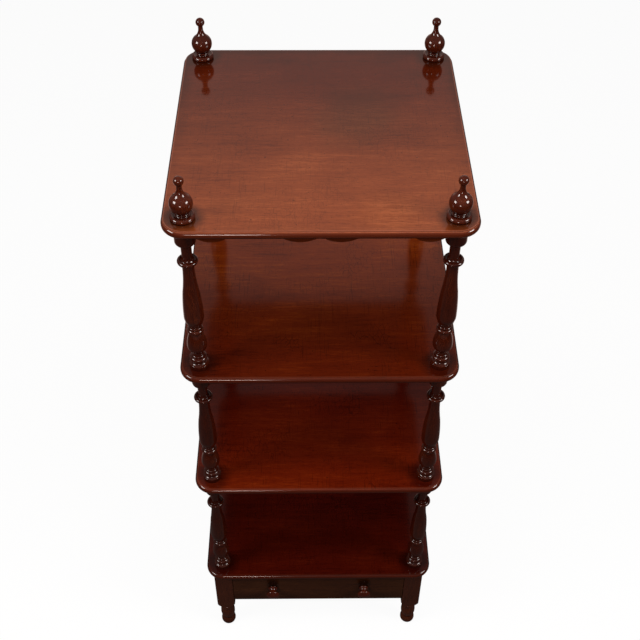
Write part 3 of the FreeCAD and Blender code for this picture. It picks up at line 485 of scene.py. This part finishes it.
def cracked(tree, body, height, place, deep, strength):
    """A colour and relief with the fine cracks of old polish: (colour, height)."""
    stretched = tree.stretched(place, CELL_STRETCH)
    cells = tree.add("TexVoronoi", {"Vector": stretched, "Scale": CELL_SCALE}, feature="DISTANCE_TO_EDGE")
    line = tree.ramp(cells.outputs["Distance"], CELL_LINE, 1.0, 0.0)
    line = tree.math("MULTIPLY", line, tree.ramp(tree.noise(place, *CELL_PATCHES), CELL_PATCH_RANGE))
    body = tree.paint(body, line, CELL_SHARE * strength, deep)
    height = tree.math("MULTIPLY_ADD", line, CELL_DEPTH * strength, height)

    threads = tree.noise(tree.stretched(place, THREAD_STRETCH), *THREAD_NOISE)
    held = tree.ramp(tree.noise(place, *THREAD_PATCHES), THREAD_PATCH_RANGE)
    crack = tree.math("MULTIPLY", tree.ramp(threads, THREAD_RANGE), held)
    body = tree.paint(body, crack, THREAD_SHARE * strength, deep)
    return body, tree.math("MULTIPLY_ADD", crack, THREAD_DEPTH * strength, height)


def bloomed(tree, body, across, along, mottle):
    """The top board's colour with its greyer bloom."""
    aside = tree.math("MULTIPLY", tree.math("SUBTRACT", across, BLOOM_PLACE[0]), BLOOM_NARROWING)
    away = tree.length(aside, tree.math("SUBTRACT", along, BLOOM_PLACE[1]))
    ragged = tree.math("MULTIPLY_ADD", mottle, BLOOM_RAGGEDNESS, away)
    return tree.blend(tree.ramp(ragged, BLOOM_RANGE, 1.0, 0.0), body, BLOOM_TINT, "MULTIPLY")


def edged(tree, body, across, edge, depth, deep, wear_and_highlight_share):
    """A board's colour with the worn line, partly a painted highlight, and painted shade on the noses, the
    flanks and the underside.
    """
    # The worn line is wear with a painted highlight; the noses, the flanks and the underside get painted
    # shade.
    wear_and_highlight = tree.math("MULTIPLY", tree.ramp(edge, WEAR_AND_HIGHLIGHT_BEGIN), tree.ramp(edge, WEAR_AND_HIGHLIGHT_END, 1.0, 0.0))
    nose_shade = tree.math("MAXIMUM", tree.ramp(edge, NOSE_SHADE_RANGE, 1.0, 0.0), tree.ramp(depth, NOSE_SHADE_DEPTHS))
    flank_shade = tree.ramp(tree.math("ABSOLUTE", across), FLANK_SHADE_RANGE)
    body = tree.paint(body, wear_and_highlight, wear_and_highlight_share, WEAR_AND_HIGHLIGHT_TONE)
    body = tree.paint(body, nose_shade, NOSE_SHADE_SHARE, NOSE_SHADE_TONE)
    body = tree.paint(body, flank_shade, FLANK_SHADE_SHARE, deep)
    return tree.paint(body, tree.ramp(depth, UNDERSIDE_SHADE_DEPTHS), UNDERSIDE_SHADE_SHARE, deep)


def board(name):
    """A shelf board: grain across the stand, fine cracks, dark corners of old polish, painted shading from
    front to back, and a worn edge with painted highlight and shade.
    """
    looks = BOARDS[name]
    # Each board's tones are set to the brightness it shows under the lamps, so besides the wood's colour
    # they hold painted light and shade.
    dark, middle, light = (colour(*tone) for tone in looks["tones"])
    deep = shaded(dark, DEEP_TONE)
    material, tree = new_material(f"{name}_mahogany")
    here, place = varied_place(tree)
    across, along, upward = tree.add("SeparateXYZ", {0: here}).outputs
    body, height = wood_tone(tree, place, "X", dark, middle, light)
    # Painted light and shade: the tones change from front to back as the light on the board does.
    shading_along = tree.math("MULTIPLY_ADD", tree.noise(place, *PAINTED_SHADING_NOISE), PAINTED_SHADING_RAGGEDNESS, along)
    body = tree.blend(tree.ramp(shading_along, PAINTED_SHADING_RANGE), body, looks["painted_back_shading"], "MULTIPLY")
    body, height = cracked(tree, body, height, place, deep, looks["crackle"])

    mottle = tree.noise(place, *MOTTLE)
    if name == "top_shelf":
        body = bloomed(tree, body, across, along, mottle)
    body = tree.paint(body, tree.ramp(tree.noise(place, *SPECKS), SPECK_RANGE), SPECK_SHARE, deep)

    edge = from_edge(tree, across, along)
    band = tree.ramp(tree.math("MULTIPLY_ADD", mottle, BAND_RAGGEDNESS, edge), BAND_RANGE, 1.0, 0.0)
    band = tree.math("MULTIPLY", band, tree.ramp(along, BACKWARD_RANGE, BACKWARD_START, 1.0))
    body = tree.paint(body, band, BAND_SHARE * looks["grime_and_shade"], deep)
    # Old polish and painted shade round the columns' feet.
    ring = tree.math("MULTIPLY_ADD", mottle, RING_RAGGEDNESS, from_columns(tree, across, along))
    body = tree.paint(body, tree.ramp(ring, RING_RANGE, 1.0, 0.0), RING_SHARE * looks["grime_and_shade"], deep)

    _, upper_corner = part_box(name)
    depth = tree.math("SUBTRACT", upper_corner[2], upward)
    body = edged(tree, body, across, edge, depth, deep, looks["wear_and_highlight"])
    polished(tree, body, height, looks["gloss"], looks["blur"])
    return material


# ---------------------------------------------------------------------------------------------------------
# Pine and brass
# ---------------------------------------------------------------------------------------------------------

def pine(name, axis):
    """Bare, aged pine."""
    material, tree = new_material(name)
    here = tree.add("TexCoord").outputs["Object"]
    fibre = tree.grain(here, axis, *PINE_FIBRE)
    stain = tree.noise(here, *PINE_STAIN)
    rings = tree.ramp(tree.grain(here, axis, *PINE_RINGS), PINE_RING_RANGE)
    body = tree.blend(rings, PINE_PALE, PINE_RING_TONE)
    body = tree.blend(tree.ramp(fibre, PINE_FIBRE_RANGE, 0.0, PINE_MARK_SHARE), body, PINE_FIBRE_TONE)
    body = tree.blend(tree.ramp(stain, PINE_STAIN_RANGE, 0.0, PINE_MARK_SHARE), body, PINE_STAIN_TONE)
    relief = {"Height": fibre, "Strength": PINE_RELIEF_STRENGTH, "Distance": PINE_RELIEF_DEPTH}
    normal = tree.add("Bump", relief).outputs[0]
    roughness = tree.ramp(stain, NOISE_RANGE, *PINE_ROUGHNESS)
    tree.end(tree.add("BsdfPrincipled", {"Base Color": body, "Normal": normal, "Roughness": roughness}))
    return material


def brass(name):
    """Dull brass of old wood screws."""
    material, tree = new_material(name)
    stain = tree.noise(tree.add("TexCoord").outputs["Object"], *BRASS_STAIN)
    body = tree.blend(tree.ramp(stain, BRASS_DULL_RANGE), BRASS_BRIGHT, BRASS_DULL)
    roughness = tree.ramp(stain, NOISE_RANGE, *BRASS_ROUGHNESS)
    tree.end(tree.add("BsdfPrincipled", {"Base Color": body, "Metallic": 1.0, "Roughness": roughness}))
    return material


# ---------------------------------------------------------------------------------------------------------
# Dressing
# ---------------------------------------------------------------------------------------------------------

def dress(material, names):
    """Gives nodes a material in every slot."""
    for name in names:
        node = NODES[name]
        if not node.material_slots:
            node.data.materials.append(material)
        for slot in node.material_slots:
            slot.material = material


def names_with(word):
    """The nodes whose names hold a word."""
    return [name for name in NODES if word in name]


def dress_all():
    """Materials for every node."""
    for name in BOARDS:
        dress(board(name), [name])
    for wood, words in WOOD_PIECES.items():
        material = mahogany(wood)
        for word in words:
            dress(material, names_with(word))
    dress(pine("pine_lengthwise", "Y"), PINE_LENGTHWISE)
    dress(pine("pine_crosswise", "X"), PINE_CROSSWISE)
    dress(brass("old_brass"), names_with("screws"))


# ---------------------------------------------------------------------------------------------------------
# Studio
# ---------------------------------------------------------------------------------------------------------

def seen(tree, polish_share):
    """How much of the pale background a ray shows, and its colour.

    The eye sees all of it. The polish shows its share, in a warmer tone.
    """
    rays = tree.add("LightPath").outputs
    mirrored = tree.math("MULTIPLY", rays["Is Glossy Ray"], polish_share)
    direct = tree.math("MAXIMUM", rays["Is Camera Ray"], rays["Is Transmission Ray"])
    return tree.math("MAXIMUM", direct, mirrored), tree.blend(direct, POLISH_BACKGROUND, BACKGROUND)


def floor():
    """A plain pale floor that keeps the object's shadow."""
    bpy.ops.mesh.primitive_plane_add(size=FLOOR_SIZE)
    plane = bpy.context.object
    plane.name = "studio_floor"
    material, tree = new_material("studio_floor")
    bounce = tree.add("BsdfDiffuse", {"Color": FLOOR_COLOUR})
    shadowed = tree.add("BsdfDiffuse", {"Color": BACKGROUND})
    place = tree.add("SeparateXYZ", {0: tree.add("TexCoord").outputs["Object"]}).outputs
    behind = tree.ramp(place["Y"], FLOOR_BEHIND, 0.0, BEHIND_IN_POLISH)
    beside = tree.ramp(tree.math("ABSOLUTE", place["X"]), FLOOR_BESIDE, 1.0, FLOOR_BESIDE_SHARE)
    share, tone = seen(tree, tree.math("MULTIPLY_ADD", behind, beside, FRONT_IN_POLISH))
    plain = tree.add("Emission", {"Color": tone, "Strength": 1.0})
    pale = tree.add("MixShader", {0: SHADOW_SHARE, 1: plain.outputs[0], 2: shadowed.outputs[0]})
    tree.end(tree.add("MixShader", {0: share, 1: bounce.outputs[0], 2: pale.outputs[0]}))
    plane.data.materials.append(material)


def world():
    """A plain room: dark grey as a light, pale to look at."""
    room = bpy.data.worlds.new("studio")
    bpy.context.scene.world = room
    tree = Tree(room)
    towards = tree.add("SeparateXYZ", {0: tree.add("TexCoord").outputs["Generated"]}).outputs
    behind = tree.ramp(towards["Y"], ROOM_BEHIND, FRONT_IN_POLISH, BEHIND_IN_POLISH)
    beside = tree.ramp(tree.math("ABSOLUTE", towards["X"]), ROOM_BESIDE, 1.0, ROOM_BESIDE_SHARE)
    low_enough = tree.ramp(towards["Z"], ROOM_BEHIND_END, 1.0, 0.0)
    behind = tree.math("MULTIPLY", behind, tree.math("MULTIPLY", beside, low_enough))
    above = tree.ramp(towards["Z"], ROOM_ABOVE, FRONT_IN_POLISH, ABOVE_IN_POLISH)
    share, tone = seen(tree, tree.math("MAXIMUM", behind, above))
    shown = tree.blend(share, ROOM_COLOUR, tone)
    tree.end(tree.add("Background", {"Color": shown, "Strength": 1.0}), "World")


def lights():
    """Soft boxes beside the front, a small one in front, and one above that leaves no highlight."""
    for name, (place, target, size, power, tint) in LAMPS.items():
        light = bpy.data.lights.new(name, "AREA")
        light.shape = "RECTANGLE"
        light.size, light.size_y = size
        light.energy = power
        light.color = tint
        lamp = bpy.data.objects.new(name, light)
        bpy.context.scene.collection.objects.link(lamp)
        lamp.location = place
        lamp.rotation_euler = (Vector(target) - Vector(place)).to_track_quat("-Z", "Y").to_euler()
        if name in LAMPS_WITHOUT_HIGHLIGHT:
            lamp.visible_glossy = False
            lamp.visible_camera = False


def camera():
    """The photograph's camera."""
    lens = bpy.data.cameras.new("photo_camera")
    lens.lens = CAMERA_LENS_MM
    lens.sensor_width = CAMERA_SENSOR_MM
    eye = bpy.data.objects.new("photo_camera", lens)
    bpy.context.scene.collection.objects.link(eye)
    level = math.cos(CAMERA_PITCH)
    ahead = Vector((math.sin(CAMERA_YAW) * level, math.cos(CAMERA_YAW) * level, -math.sin(CAMERA_PITCH)))
    right = Vector((math.cos(CAMERA_YAW), -math.sin(CAMERA_YAW), 0.0))
    upward = right.cross(ahead)
    turn = Matrix((right, upward, -ahead)).transposed()
    roll = Matrix.Rotation(CAMERA_ROLL, 3, "Z")
    eye.matrix_world = Matrix.Translation(CAMERA_PLACE) @ (turn @ roll).to_4x4()
    bpy.context.scene.camera = eye


dress_all()
floor()
world()
lights()
camera()
bpy.context.scene.view_settings.view_transform = "Standard"

bpy.context.view_layer.update()
